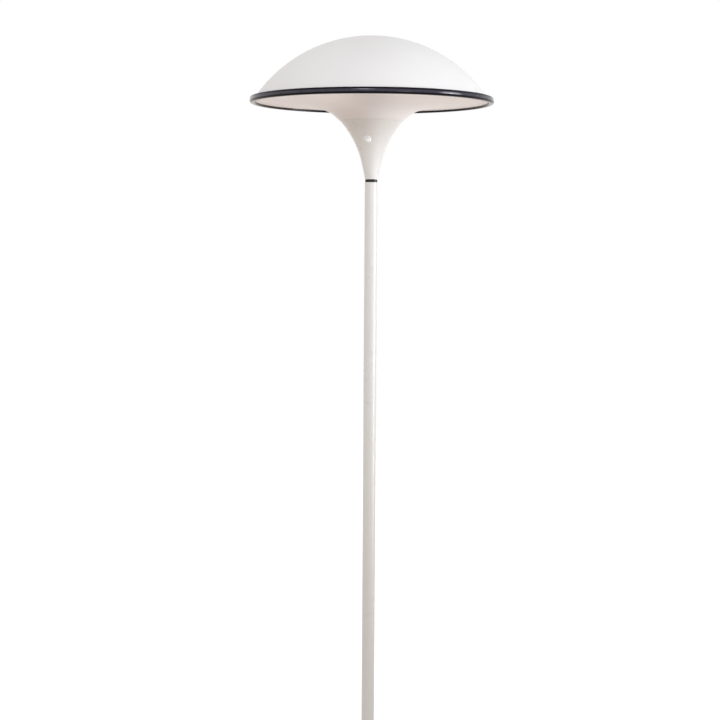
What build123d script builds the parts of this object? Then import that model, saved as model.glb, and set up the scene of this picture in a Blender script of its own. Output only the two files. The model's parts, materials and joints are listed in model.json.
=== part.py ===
"""Mushroom floor lamp: weighted base, pole, trumpet neck and a closed dome shade.

Own frame: +Z up, origin on the floor under the centre of the base, millimetres.
The push button faces the front, which is -Y.  The cord inlet is at the back, +Y.
Threads are drawn as plain cylinders.
"""
import os
from math import cos, radians, sin, sqrt

from build123d import *

os.makedirs("parts", exist_ok=True)

# ---------------------------------------------------------------- driving dimensions
# Clearances
fit_gap = 0.05  # radial gap of a screwed or pressed joint
seat_gap = 0.3  # gap between curved faces that lie on each other
rest_gap = 0.1  # gap under a piece that only rests in its seat

# Base
base_diameter = 300.0
cover_wall = 1.5
cover_crown = 4.0  # rise of the cover's top from its rim to the pole
cover_edge_radius = 10.0
cover_flat_radius = 20.0  # level seat for the pole in the middle of the cover
weight_height = 24.0  # cast weight at its rim
weight_side_gap = 1.0
weight_web = 8.0  # iron left above the nut's recess, at the rim's height
plate_wall = 1.5
plate_margin = 4.0  # how far the bottom plate stays inside the cover
foot_height = 4.0
foot_diameter = 20.0
foot_circle_diameter = 262.0
foot_count = 6

# Screws, one size for the whole lamp
screw_diameter = 4.0
screw_head_diameter = 7.6
screw_head_height = 2.4
screw_nut_flats = 7.0
screw_nut_height = 3.2
plate_screw_circle = 120.0
plate_screw_count = 4
plate_screw_length = 12.0

# Cord inlet and terminals in the base
inlet_height = 14.0  # axis of the inlet above the floor
grommet_bore_diameter = 7.2
grommet_neck_diameter = 11.6
grommet_flange_diameter = 15.0
grommet_flange_height = 2.4
grommet_taper = 18.0  # degrees, on the outer flange
block_width = 30.0
block_depth = 18.0
block_height = 14.0
block_distance = 78.0  # from the lamp's axis to the middle of the block
terminal_count = 3
terminal_spacing = 9.0
terminal_screw_diameter = 3.2
terminal_screw_length = 5.0
terminal_wire_bore = 3.6

# Pole and its fixing to the base
pole_diameter = 25.0
pole_wall = 1.5
pole_length = 1127.0
stud_diameter = 16.0
stud_bore = 9.0
stud_grip = 25.0  # how far the stud reaches into the pole
stud_nut_flats = 24.0
stud_nut_height = 6.0
stud_washer_diameter = 34.0
stud_washer_height = 1.5
stud_tail = 1.0  # how far the stud stands out of its nut
foot_insert_length = 32.0

# Pole's fixing to the neck
nipple_diameter = 10.0
nipple_bore = 7.4
nipple_grip = 18.0
top_insert_length = 24.0
nipple_nut_flats = 14.0
nipple_nut_height = 4.5
nipple_washer_diameter = 18.0
nipple_washer_height = 1.5
collar_height = 5.5
collar_diameter = 24.2
collar_edge_radius = 1.2

# Neck: two arcs along its outside that meet at the waist
neck_wall = 1.5
neck_foot_radius = 12.1
neck_foot_slope = 0.18  # radius gained for each millimetre of height
neck_waist_radius = 19.6
neck_waist_height = 35.2
neck_top_radius = 62.1
neck_height = 115.4
neck_mouth_radius = 40.0

# Reflector flare: three arcs along its underside, from the seam to the rim band
flare_wall = 1.2
flare_foot_radius = 63.1
flare_foot_slope = 1.14  # height gained for each millimetre of radius
flare_elbow_radius = 99.0
flare_elbow_rise = 22.7
flare_shoulder_radius = 134.4
flare_shoulder_rise = 29.9
flare_rise = 36.9
flare_lip_width = 4.5  # level lip that sits in the rim band
flare_mouth_radius = 41.0

# Rim band
band_diameter = 480.0
band_width = 11.0
band_height = 12.4
band_outer_radius = 5.4  # rounding of the band's outside
band_inner_radius = 2.4
band_lip_depth = 3.6  # rubber under the flare's lip

# Dome shade
dome_rise = 122.6  # crown of the dome above its skirt
dome_wall = 3.0
dome_skirt_height = 5.2  # upright edge that stands in the band
dome_side_gap = 0.4  # between the dome's skirt and the band

# Switch on the neck
switch_height = 76.5  # above the neck's foot
switch_angle = 14.5  # to the left of the front, seen from the front
bushing_diameter = 12.6
bezel_diameter = 16.4
bezel_height = 2.4
button_diameter = 10.6
button_rise = 4.6  # button's crown above the neck's wall
button_crown = 1.8
button_travel = 2.5
plunger_diameter = 7.0
plunger_length = 11.0
switch_body_diameter = 18.0
switch_body_length = 21.0
switch_back_wall = 3.0
gasket_height = 3.0
spring_wire = 0.5
spring_turns = 5
tab_width = 4.8
tab_wall = 0.8
tab_length = 6.0
tab_spacing = 8.0

# Lead and wires held inside
lead_diameter = 5.0
lead_bend_radius = 10.0
lead_top = 38.0  # sheath's end above the neck's foot
wire_diameter = 1.6
core_circle_radius = 1.25
wire_bend_radius = 4.0
wire_end_run = 8.0  # straight run of a wire out of the lead and into the earth screw
wire_tab_run = 12.0  # straight run off a switch tab
wire_entry_run = 4.0  # straight run below the lampholder's nipple
feed_wire_distance = 8.3  # behind the neck's axis
feed_wire_shoulder = 30.0  # where the feed wire turns upright, above the lead
neutral_wire_distance = 14.0
earth_wire_distance = 17.0
earth_wire_aside = 6.0
wire_bulge_height = 44.0  # where the neutral and earth wires stand furthest out, above the lead

# Lampholder and its carrier plate
holder_plate_radius = 58.0
holder_plate_wall = 2.0
head_screw_circle = 96.0
head_screw_count = 3
head_screw_length = 12.0
earth_screw_distance = 30.0
holder_diameter = 39.0
holder_wall = 2.0
holder_cap_height = 20.0
holder_floor = 3.0
insert_ledge = 2.0
insert_floor_height = 13.0
insert_thickness = 8.0
skirt_height = 33.0
skirt_foot = 12.0  # skirt's lower edge above the carrier plate
skirt_wall = 1.8
skirt_top_radius = 17.0
socket_radius = 13.3
socket_wall = 0.5
socket_length = 22.0
contact_height = 1.0
contact_radius = 4.0

# Bulb
bulb_cap_radius = 13.2
bulb_cap_length = 22.0
bulb_insulator_height = 2.0
bulb_tip_radius = 4.6
bulb_tip_height = 1.2
bulb_thread_pitch = 3.6
bulb_thread_depth = 0.7
bulb_radius = 30.0
bulb_glass_height = 78.0
bulb_glass_wall = 1.2

# ---------------------------------------------------------------- levels above the floor
base_radius = base_diameter / 2
weight_foot_z = foot_height + plate_wall
cover_rim_z = weight_foot_z + weight_height + seat_gap + cover_wall
pole_foot_z = cover_rim_z + cover_crown
pole_top_z = pole_foot_z + pole_length
neck_foot_z = pole_top_z + collar_height
seam_z = neck_foot_z + neck_height
lip_z = seam_z + flare_rise
lip_top_z = lip_z + flare_wall
band_foot_z = lip_z - band_lip_depth
plate_foot_z = seam_z + flare_wall
holder_z = plate_foot_z + holder_plate_wall
bulb_tip_z = holder_z + insert_floor_height + insert_thickness + contact_height + rest_gap

# Radii that follow from the ones above
pole_radius = pole_diameter / 2
pole_bore_radius = pole_radius - pole_wall
band_radius = band_diameter / 2
band_bore_radius = band_radius - band_width
lip_radius = band_bore_radius + flare_lip_width
dome_skirt_radius = band_bore_radius + dome_side_gap
dome_rebate_radius = dome_skirt_radius + dome_side_gap
dome_foot_z = lip_top_z + rest_gap
dome_sphere_radius = (dome_skirt_radius**2 + dome_rise**2) / (2 * dome_rise)
dome_knee_z = dome_foot_z + dome_skirt_height
dome_top_z = dome_knee_z + dome_rise
dome_centre_z = dome_top_z - dome_sphere_radius
screw_radius = screw_diameter / 2
stud_radius = stud_diameter / 2
stud_hole = stud_radius + fit_gap
nipple_radius = nipple_diameter / 2
nipple_hole = nipple_radius + fit_gap


def save(part, name):
    """Label a finished piece and write it under its own name."""
    part.label = name
    export_step(part, f"parts/{name}.step")


def ring(inner, outer, low, high):
    """A flat-ended ring, or a disc where inner is 0."""
    with BuildPart() as piece:
        with BuildSketch(Plane.XY.offset(low)):
            Circle(outer)
            if inner > 0:
                Circle(inner, mode=Mode.SUBTRACT)
        extrude(amount=high - low)
    return piece.part


def hex_nut(flats, bore, low, high):
    """A hexagon nut with a plain bore."""
    with BuildPart() as piece:
        with BuildSketch(Plane.XY.offset(low)):
            RegularPolygon(flats / 2, 6, major_radius=False)
            Circle(bore, mode=Mode.SUBTRACT)
        extrude(amount=high - low)
    return piece.part


def arc_chain(points, direction):
    """Arcs from point to point, each tangent to the one before it."""
    with BuildLine() as chain:
        for start, end in zip(points, points[1:]):
            arc = TangentArc(start, end, tangent=direction)
            direction = arc % 1
    return chain.wire()


def crowned_disc(radius, low, rim, top, corner):
    """A disc with a rounded rim and a slightly raised, level middle."""
    with BuildPart() as piece:
        with BuildSketch(Plane.XZ):
            with BuildLine():
                Polyline(
                    (0, low), (radius, low), (radius, rim), (cover_flat_radius, top), (0, top),
                    close=True,
                )
            make_face()
            fillet(vertices().group_by(Axis.X)[-1].sort_by(Axis.Y)[-1], corner)
        revolve(axis=Axis.Z)
    return piece.part


# ---------------------------------------------------------------- base
with BuildPart() as base_cover:
    add(crowned_disc(base_radius, foot_height, cover_rim_z, pole_foot_z, cover_edge_radius))
    add(
        crowned_disc(
            base_radius - cover_wall,
            foot_height - cover_wall,
            cover_rim_z - cover_wall,
            pole_foot_z - cover_wall,
            cover_edge_radius - cover_wall,
        ),
        mode=Mode.SUBTRACT,
    )
    with BuildSketch(Plane.XY.offset(foot_height)):
        Circle(stud_hole)
    extrude(amount=pole_foot_z, mode=Mode.SUBTRACT)
    with BuildSketch(Plane.XZ):
        with Locations((0, inlet_height)):
            Circle(grommet_neck_diameter / 2 + fit_gap)
    extrude(amount=-base_diameter, mode=Mode.SUBTRACT)
save(base_cover.part, "base_cover")

# The nut's recess, the lead's channel, the terminal block's pocket and the inlet's pocket
# are open towards the bottom plate.
nut_recess_top_z = weight_foot_z + weight_height - weight_web
stud_washer_z = nut_recess_top_z - stud_washer_height
stud_nut_z = stud_washer_z - stud_nut_height
stud_foot_z = stud_nut_z - stud_tail
lead_channel_width = lead_diameter + 2 * weight_side_gap
lead_channel_z = weight_foot_z + lead_diameter + weight_side_gap
inlet_pocket_width = grommet_flange_diameter + 3 * weight_side_gap
weight_radius = base_radius - cover_wall - weight_side_gap

with BuildPart() as base_weight:
    add(
        crowned_disc(
            weight_radius,
            weight_foot_z,
            cover_rim_z - cover_wall - seat_gap,
            pole_foot_z - cover_wall,
            cover_edge_radius,
        )
    )
    with BuildSketch(Plane.XY.offset(weight_foot_z)):
        Circle(stud_hole)
    extrude(amount=pole_foot_z, mode=Mode.SUBTRACT)
    with BuildSketch(Plane.XY.offset(weight_foot_z)):
        Circle(stud_washer_diameter / 2 + weight_side_gap)
    extrude(amount=nut_recess_top_z - weight_foot_z, mode=Mode.SUBTRACT)
    with BuildSketch(Plane.XY.offset(weight_foot_z)):
        Rectangle(lead_channel_width, block_distance, align=(Align.CENTER, Align.MIN))
    extrude(amount=lead_channel_z - weight_foot_z, mode=Mode.SUBTRACT)
    with BuildSketch(Plane.XY.offset(weight_foot_z)):
        with Locations((0, block_distance)):
            Rectangle(block_width + weight_side_gap, block_depth + weight_side_gap)
    extrude(amount=block_height + seat_gap, mode=Mode.SUBTRACT)
    with BuildSketch(Plane.XY.offset(weight_foot_z)):
        with Locations((0, block_distance)):
            Rectangle(inlet_pocket_width, base_radius, align=(Align.CENTER, Align.MIN))
    extrude(amount=inlet_height + inlet_pocket_width / 2 - weight_foot_z, mode=Mode.SUBTRACT)
    with BuildSketch(Plane.XY.offset(weight_foot_z)):
        with PolarLocations(plate_screw_circle / 2, plate_screw_count, start_angle=45):
            Circle(screw_radius + fit_gap)
    extrude(amount=plate_screw_length, mode=Mode.SUBTRACT)
save(base_weight.part, "base_weight")

with BuildPart() as base_plate:
    add(ring(0, base_radius - cover_wall - plate_margin, foot_height, weight_foot_z))
    with BuildSketch(Plane.XY.offset(foot_height)):
        with PolarLocations(plate_screw_circle / 2, plate_screw_count, start_angle=45):
            Circle(screw_radius + fit_gap)
    extrude(amount=plate_wall, mode=Mode.SUBTRACT)
save(base_plate.part, "base_plate")

with BuildPart() as base_plate_screws:
    with BuildSketch(Plane.XY.offset(foot_height - screw_head_height)):
        with PolarLocations(plate_screw_circle / 2, plate_screw_count, start_angle=45):
            Circle(screw_head_diameter / 2)
    extrude(amount=screw_head_height)
    chamfer(edges().group_by(Axis.Z)[0], screw_head_height / 4)
    with BuildSketch(Plane.XY.offset(foot_height)):
        with PolarLocations(plate_screw_circle / 2, plate_screw_count, start_angle=45):
            Circle(screw_radius)
    extrude(amount=plate_screw_length)
save(base_plate_screws.part, "base_plate_screws")

with BuildPart() as rubber_feet:
    with BuildSketch():
        with PolarLocations(foot_circle_diameter / 2, foot_count):
            Circle(foot_diameter / 2)
    extrude(amount=foot_height)
    chamfer(edges().group_by(Axis.Z)[0], foot_height / 5)
save(rubber_feet.part, "rubber_feet")

# ---------------------------------------------------------------- inlet and terminals
grommet_plane = Plane(origin=(0, base_radius, inlet_height), x_dir=(1, 0, 0), z_dir=(0, 1, 0))
wall_sagitta = grommet_flange_diameter**2 / 4 / base_diameter + fit_gap

with BuildPart() as inlet_grommet:
    with BuildSketch(grommet_plane.offset(fit_gap)):
        Circle(grommet_flange_diameter / 2)
    extrude(amount=grommet_flange_height, taper=grommet_taper)
    with BuildSketch(grommet_plane.offset(fit_gap)):
        Circle(grommet_neck_diameter / 2)
    extrude(amount=-(cover_wall + wall_sagitta + 2 * fit_gap))
    with BuildSketch(grommet_plane.offset(-cover_wall - wall_sagitta)):
        Circle(grommet_flange_diameter / 2)
    extrude(amount=-grommet_flange_height)
    with BuildSketch(grommet_plane.offset(2 * grommet_flange_height)):
        Circle(grommet_bore_diameter / 2)
    extrude(amount=-base_radius, mode=Mode.SUBTRACT)
save(inlet_grommet.part, "inlet_grommet")

block_plane = Plane.XY.offset(weight_foot_z)

with BuildPart() as base_terminal_block:
    with BuildSketch(block_plane):
        with Locations((0, block_distance)):
            Rectangle(block_width, block_depth)
    extrude(amount=block_height)
    fillet(edges().filter_by(Axis.Z), screw_radius / 2)
    with BuildSketch(Plane.XZ):
        with Locations((0, weight_foot_z + block_height / 2)):
            with GridLocations(terminal_spacing, 1, terminal_count, 1):
                Circle(terminal_wire_bore / 2)
    extrude(amount=-2 * block_distance, mode=Mode.SUBTRACT)
    with BuildSketch(block_plane):
        with Locations((0, block_distance)):
            with GridLocations(terminal_spacing, block_depth / 2, terminal_count, 2):
                Circle(terminal_screw_diameter / 2 + fit_gap)
    extrude(amount=terminal_screw_length + rest_gap, mode=Mode.SUBTRACT)
save(base_terminal_block.part, "base_terminal_block")

with BuildPart() as base_terminal_screws:
    with BuildSketch(block_plane.offset(rest_gap)):
        with Locations((0, block_distance)):
            with GridLocations(terminal_spacing, block_depth / 2, terminal_count, 2):
                Circle(terminal_screw_diameter / 2)
    extrude(amount=terminal_screw_length)
save(base_terminal_screws.part, "base_terminal_screws")

# ---------------------------------------------------------------- pole and fixings
insert_side = pole_bore_radius - fit_gap
foot_insert_top = pole_foot_z + foot_insert_length
top_insert_foot = pole_top_z - top_insert_length

base_stud = ring(stud_bore / 2, stud_radius, stud_foot_z, pole_foot_z + stud_grip)
save(base_stud, "base_stud")

base_nut = hex_nut(stud_nut_flats, stud_hole, stud_nut_z, stud_washer_z)
save(base_nut, "base_nut")

base_washer = ring(stud_hole, stud_washer_diameter / 2, stud_washer_z, nut_recess_top_z)
save(base_washer, "base_washer")

pole_foot_insert = ring(stud_hole, insert_side, pole_foot_z, foot_insert_top)
save(pole_foot_insert, "pole_foot_insert")

pole_tube = ring(pole_bore_radius, pole_radius, pole_foot_z, pole_top_z)
save(pole_tube, "pole_tube")

pole_top_insert = ring(nipple_hole, insert_side, top_insert_foot, pole_top_z)
save(pole_top_insert, "pole_top_insert")

with BuildPart() as collar_ring:
    add(ring(nipple_hole, collar_diameter / 2, pole_top_z, neck_foot_z))
    fillet(faces().filter_by(GeomType.CYLINDER).sort_by(SortBy.AREA)[-1].edges(), collar_edge_radius)
save(collar_ring.part, "collar_ring")

neck_washer_z = neck_foot_z + neck_wall
neck_nut_z = neck_washer_z + nipple_washer_height

neck_nut_top = neck_nut_z + nipple_nut_height
nipple_foot = pole_top_z - nipple_grip

neck_nipple = ring(nipple_bore / 2, nipple_radius, nipple_foot, neck_nut_top + stud_tail)
save(neck_nipple, "neck_nipple")

neck_washer = ring(nipple_hole, nipple_washer_diameter / 2, neck_washer_z, neck_nut_z)
save(neck_washer, "neck_washer")

neck_nut = hex_nut(nipple_nut_flats, nipple_hole, neck_nut_z, neck_nut_top)
save(neck_nut, "neck_nut")

# ---------------------------------------------------------------- neck
neck_points = [
    (neck_foot_radius, neck_foot_z),
    (neck_waist_radius, neck_foot_z + neck_waist_height),
    (neck_top_radius, seam_z),
]
neck_outline = arc_chain(neck_points, (neck_foot_slope, 1))


def share_at_height(curve, height):
    """How far along a rising curve it passes a height, from 0 to 1."""
    low, high = 0.0, 1.0
    while high - low > 1e-7:
        middle = (low + high) / 2
        if curve.position_at(middle).Y < height:
            low = middle
        else:
            high = middle
    return low


# The switch's plane touches the neck's outside; its Z axis points out of the wall.
switch_share = share_at_height(neck_outline, neck_foot_z + switch_height)
wall_point = neck_outline.position_at(switch_share)
wall_slope = neck_outline.tangent_at(switch_share)
facing = radians(-90 - switch_angle)
upward = Vector(0, 0, 1)
outward = Vector(cos(facing), sin(facing), 0)
sideways = Vector(-sin(facing), cos(facing), 0)
switch_axis = outward * wall_slope.Y - upward * wall_slope.X
switch_plane = Plane(
    origin=outward * wall_point.X + upward * wall_point.Y, x_dir=sideways, z_dir=switch_axis
)

with BuildPart() as neck_envelope:
    with BuildSketch(Plane.XZ):
        with BuildLine():
            add(neck_outline)
            Polyline(neck_points[-1], (0, seam_z), (0, neck_foot_z), neck_points[0])
        make_face()
    revolve(axis=Axis.Z)

with BuildPart() as neck_cavity:
    add(neck_envelope.part)
    offset(amount=-neck_wall)

with BuildPart() as neck_cone:
    add(neck_envelope.part)
    add(neck_cavity.part, mode=Mode.SUBTRACT)
    with BuildSketch(Plane.XY.offset(seam_z - 2 * neck_wall)):
        Circle(neck_mouth_radius)
    extrude(amount=2 * neck_wall, mode=Mode.SUBTRACT)
    with BuildSketch(Plane.XY.offset(neck_foot_z)):
        Circle(nipple_hole)
    extrude(amount=neck_wall, mode=Mode.SUBTRACT)
    with BuildSketch(Plane.XY.offset(seam_z)):
        with PolarLocations(head_screw_circle / 2, head_screw_count):
            Circle(screw_radius + fit_gap)
    extrude(amount=-neck_wall, mode=Mode.SUBTRACT)
    with BuildSketch(switch_plane.offset(neck_wall)):
        Circle(bushing_diameter / 2 + fit_gap)
    extrude(amount=-6 * neck_wall, mode=Mode.SUBTRACT)
save(neck_cone.part, "neck_cone")

# ---------------------------------------------------------------- switch
plunger_top = button_rise - button_crown
bushing_top = bezel_height - rest_gap
body_top = -neck_wall - gasket_height
well_radius = plunger_diameter / 2 + fit_gap
body_foot = body_top - switch_body_length
well_floor = body_foot + switch_back_wall
plunger_foot = plunger_top - button_travel - plunger_length
head_well_floor = plunger_top - 2 * button_travel - rest_gap


def circles_along_switch(builder):
    """The round edges of the part being built, from the inside of the neck outwards."""
    switch_line = Axis(switch_plane.origin, switch_axis)
    return builder.edges().filter_by(GeomType.CIRCLE).sort_by(switch_line)


with BuildPart() as switch_body:
    with BuildSketch(switch_plane.offset(body_top)):
        Circle(switch_body_diameter / 2)
    extrude(amount=-switch_body_length)
    fillet(circles_along_switch(switch_body)[0], neck_wall / 2)
    with BuildSketch(switch_plane.offset(body_top)):
        Circle(bushing_diameter / 2)
    extrude(amount=bushing_top - body_top)
    with BuildSketch(switch_plane.offset(bushing_top)):
        Circle(well_radius)
    extrude(amount=well_floor - bushing_top, mode=Mode.SUBTRACT)
    with BuildSketch(switch_plane.offset(bushing_top)):
        Circle(button_diameter / 2 + fit_gap)
    extrude(amount=head_well_floor - bushing_top, mode=Mode.SUBTRACT)
save(switch_body.part, "switch_body")

with BuildPart() as switch_gasket:
    with BuildSketch(switch_plane):
        Circle(switch_body_diameter / 2)
        Circle(bushing_diameter / 2 + fit_gap, mode=Mode.SUBTRACT)
    extrude(amount=body_top)
    add(neck_cavity.part, mode=Mode.INTERSECT)
save(switch_gasket.part, "switch_gasket")

with BuildPart() as switch_bezel:
    with BuildSketch(switch_plane.offset(-neck_wall)):
        Circle(bezel_diameter / 2)
    extrude(amount=bezel_height + neck_wall)
    fillet(circles_along_switch(switch_bezel)[-1], bezel_height / 2)
    with BuildSketch(switch_plane.offset(bezel_height)):
        Circle(bushing_diameter / 2 + fit_gap)
    extrude(amount=-2 * bezel_height - neck_wall, mode=Mode.SUBTRACT)
    add(neck_envelope.part, mode=Mode.SUBTRACT)
save(switch_bezel.part, "switch_bezel")

with BuildPart() as switch_button:
    with BuildSketch(switch_plane.offset(plunger_top - button_travel)):
        Circle(button_diameter / 2)
    extrude(amount=button_rise - plunger_top + button_travel)
    fillet(circles_along_switch(switch_button)[-1], button_crown)
    with BuildSketch(switch_plane.offset(plunger_top - button_travel)):
        Circle(plunger_diameter / 2)
    extrude(amount=-plunger_length)
save(switch_button.part, "switch_button")

# The spring fills the well between its floor and the plunger.
spring_radius = plunger_diameter / 2 - spring_wire
spring_foot = switch_plane.offset(well_floor + spring_wire / 2 + rest_gap).origin
spring_length = plunger_foot - well_floor - spring_wire - 2 * rest_gap
spring_pitch = spring_length / spring_turns

with BuildPart() as switch_spring:
    with BuildLine() as spring_path:
        Helix(spring_pitch, spring_length, spring_radius, spring_foot, switch_axis)
    with BuildSketch(Plane(spring_path.line @ 0, z_dir=spring_path.line % 0)):
        Circle(spring_wire / 2)
    sweep(path=spring_path.line, is_frenet=True)
save(switch_spring.part, "switch_spring")

tab_foot = body_foot - tab_length

with BuildPart() as switch_tabs:
    with BuildSketch(switch_plane.offset(body_foot)):
        with GridLocations(tab_spacing, 1, 2, 1):
            Rectangle(tab_wall, tab_width)
    extrude(amount=-tab_length)
save(switch_tabs.part, "switch_tabs")

# ---------------------------------------------------------------- shade
flare_points = [
    (flare_foot_radius, seam_z),
    (flare_elbow_radius, seam_z + flare_elbow_rise),
    (flare_shoulder_radius, seam_z + flare_shoulder_rise),
    (band_bore_radius, lip_z),
]
flare_outline = arc_chain(flare_points, (1, flare_foot_slope))

with BuildPart() as flare_envelope:
    with BuildSketch(Plane.XZ):
        with BuildLine():
            add(flare_outline)
            Polyline(
                (band_bore_radius, lip_z),
                (lip_radius, lip_z),
                (lip_radius, lip_top_z + 2 * flare_wall),
                (0, lip_top_z + 2 * flare_wall),
                (0, seam_z),
                (flare_foot_radius, seam_z),
            )
        make_face()
    revolve(axis=Axis.Z)

with BuildPart() as flare_bowl:
    add(flare_envelope.part)
    offset(amount=-flare_wall)

with BuildPart() as reflector_flare:
    add(flare_envelope.part)
    add(flare_bowl.part, mode=Mode.SUBTRACT)
    with BuildSketch(Plane.XY.offset(lip_top_z)):
        Circle(band_radius)
    extrude(amount=band_height, mode=Mode.SUBTRACT)
    with BuildSketch(Plane.XY.offset(seam_z)):
        Circle(flare_mouth_radius)
    extrude(amount=flare_wall, mode=Mode.SUBTRACT)
    with BuildSketch(Plane.XY.offset(seam_z)):
        with PolarLocations(head_screw_circle / 2, head_screw_count):
            Circle(screw_radius + fit_gap)
    extrude(amount=flare_wall, mode=Mode.SUBTRACT)
save(reflector_flare.part, "reflector_flare")

with BuildPart() as rim_band:
    with BuildSketch(Plane.XZ):
        with Locations((band_bore_radius, band_foot_z)):
            Rectangle(band_width, band_height, align=(Align.MIN, Align.MIN))
        fillet(vertices().group_by(Axis.X)[-1], band_outer_radius)
        fillet(vertices().group_by(Axis.X)[0].sort_by(Axis.Y)[0], band_inner_radius)
        with Locations((band_bore_radius, lip_z)):
            Rectangle(
                flare_lip_width + fit_gap, flare_wall, align=(Align.MIN, Align.MIN), mode=Mode.SUBTRACT
            )
        with Locations((band_bore_radius, lip_z)):
            Rectangle(
                dome_rebate_radius - band_bore_radius,
                band_height,
                align=(Align.MIN, Align.MIN),
                mode=Mode.SUBTRACT,
            )
    revolve(axis=Axis.Z)
save(rim_band.part, "rim_band")


def filled_dome(sphere, skirt, low):
    """A part of a sphere on a short upright skirt, filled."""
    knee = (skirt, dome_centre_z + sqrt(sphere**2 - skirt**2))
    apex = (0, dome_centre_z + sphere)
    with BuildPart() as piece:
        with BuildSketch(Plane.XZ):
            with BuildLine():
                Polyline(knee, (skirt, low), (0, low), apex)
                RadiusArc(apex, knee, sphere)
            make_face()
        revolve(axis=Axis.Z)
    return piece.part


inner_skirt_radius = dome_skirt_radius - dome_wall

with BuildPart() as dome_shade:
    add(filled_dome(dome_sphere_radius, dome_skirt_radius, dome_foot_z))
    add(
        filled_dome(dome_sphere_radius - dome_wall, inner_skirt_radius, dome_foot_z - dome_wall),
        mode=Mode.SUBTRACT,
    )
save(dome_shade.part, "dome_shade")

# ---------------------------------------------------------------- lampholder
with BuildPart() as holder_plate:
    add(ring(nipple_hole, holder_plate_radius, plate_foot_z, holder_z))
    with BuildSketch(Plane.XY.offset(plate_foot_z)):
        with PolarLocations(head_screw_circle / 2, head_screw_count):
            Circle(screw_radius + fit_gap)
        with Locations((0, earth_screw_distance)):
            Circle(screw_radius + fit_gap)
    extrude(amount=holder_plate_wall, mode=Mode.SUBTRACT)
save(holder_plate.part, "holder_plate")

with BuildPart() as head_screws:
    with BuildSketch(Plane.XY.offset(holder_z)):
        with PolarLocations(head_screw_circle / 2, head_screw_count):
            Circle(screw_head_diameter / 2)
    extrude(amount=screw_head_height)
    fillet(edges().group_by(Axis.Z)[-1], screw_head_height / 3)
    with BuildSketch(Plane.XY.offset(holder_z)):
        with PolarLocations(head_screw_circle / 2, head_screw_count):
            Circle(screw_radius)
    extrude(amount=-head_screw_length)
save(head_screws.part, "head_screws")

with BuildPart() as head_nuts:
    with BuildSketch(Plane.XY.offset(seam_z - neck_wall)):
        with PolarLocations(head_screw_circle / 2, head_screw_count):
            RegularPolygon(screw_nut_flats / 2, 6, major_radius=False)
            Circle(screw_radius + fit_gap, mode=Mode.SUBTRACT)
    extrude(amount=-screw_nut_height)
save(head_nuts.part, "head_nuts")

earth_plane = Plane((0, earth_screw_distance, plate_foot_z))

with BuildPart() as earth_screw:
    with BuildSketch(earth_plane):
        Circle(screw_head_diameter / 2)
    extrude(amount=-screw_head_height)
    with BuildSketch(earth_plane):
        Circle(screw_radius)
    extrude(amount=holder_plate_wall + screw_radius)
save(earth_screw.part, "earth_screw")

holder_nut_z = plate_foot_z - nipple_nut_height
holder_radius = holder_diameter / 2
cap_bore_radius = holder_radius - holder_wall
insert_foot_z = holder_z + insert_floor_height
insert_top_z = insert_foot_z + insert_thickness
insert_radius = cap_bore_radius - fit_gap
socket_outer_radius = socket_radius + socket_wall
cap_top_z = holder_z + holder_cap_height
skirt_foot_z = holder_z + skirt_foot
skirt_top_z = skirt_foot_z + skirt_height
skirt_radius = holder_radius + fit_gap + skirt_wall

holder_nipple_foot = holder_nut_z - stud_tail
holder_nipple = ring(nipple_bore / 2, nipple_radius, holder_nipple_foot, holder_z + holder_floor)
save(holder_nipple, "holder_nipple")

holder_nut = hex_nut(nipple_nut_flats, nipple_hole, holder_nut_z, plate_foot_z)
save(holder_nut, "holder_nut")

with BuildPart() as holder_cap:
    add(ring(nipple_hole, holder_radius, holder_z, cap_top_z))
    chamfer(edges().group_by(Axis.Z)[0].sort_by(SortBy.RADIUS)[-1], holder_wall)
    with BuildSketch(Plane.XY.offset(holder_z + holder_floor)):
        Circle(cap_bore_radius - insert_ledge)
    extrude(amount=holder_cap_height, mode=Mode.SUBTRACT)
    with BuildSketch(Plane.XY.offset(insert_foot_z)):
        Circle(cap_bore_radius)
    extrude(amount=holder_cap_height, mode=Mode.SUBTRACT)
save(holder_cap.part, "holder_cap")

holder_insert = ring(0, insert_radius, insert_foot_z, insert_top_z)
save(holder_insert, "holder_insert")

centre_contact = ring(0, contact_radius, insert_top_z, insert_top_z + contact_height)
save(centre_contact, "centre_contact")

socket_top_z = insert_top_z + socket_length
thread_shell = ring(socket_radius, socket_outer_radius, insert_top_z, socket_top_z)
save(thread_shell, "thread_shell")

with BuildPart() as holder_skirt:
    with BuildSketch(Plane.XZ):
        with BuildLine():
            Polyline(
                (holder_radius + fit_gap, skirt_foot_z),
                (skirt_radius, skirt_foot_z),
                (skirt_radius, insert_top_z + skirt_wall),
                (skirt_top_radius, skirt_top_z),
                (socket_outer_radius + fit_gap, skirt_top_z),
                (socket_outer_radius + fit_gap, insert_top_z + fit_gap),
                (holder_radius + fit_gap, insert_top_z + fit_gap),
                close=True,
            )
        make_face()
    revolve(axis=Axis.Z)
save(holder_skirt.part, "holder_skirt")

# ---------------------------------------------------------------- bulb
bulb_insulator_z = bulb_tip_z + bulb_tip_height
bulb_cap_z = bulb_insulator_z + bulb_insulator_height
bulb_glass_z = bulb_cap_z + bulb_cap_length
bulb_thread_count = int((bulb_cap_length - bulb_thread_pitch) / bulb_thread_pitch)

with BuildPart() as bulb_contact:
    add(ring(0, bulb_tip_radius, bulb_tip_z, bulb_insulator_z))
    fillet(edges().group_by(Axis.Z)[0], bulb_tip_height / 2)
save(bulb_contact.part, "bulb_contact")

with BuildPart() as bulb_insulator:
    with BuildSketch(Plane.XY.offset(bulb_insulator_z)):
        Circle(2 * bulb_tip_radius)
    with BuildSketch(Plane.XY.offset(bulb_cap_z)):
        Circle(bulb_cap_radius - bulb_thread_depth)
    loft()
save(bulb_insulator.part, "bulb_insulator")

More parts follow.
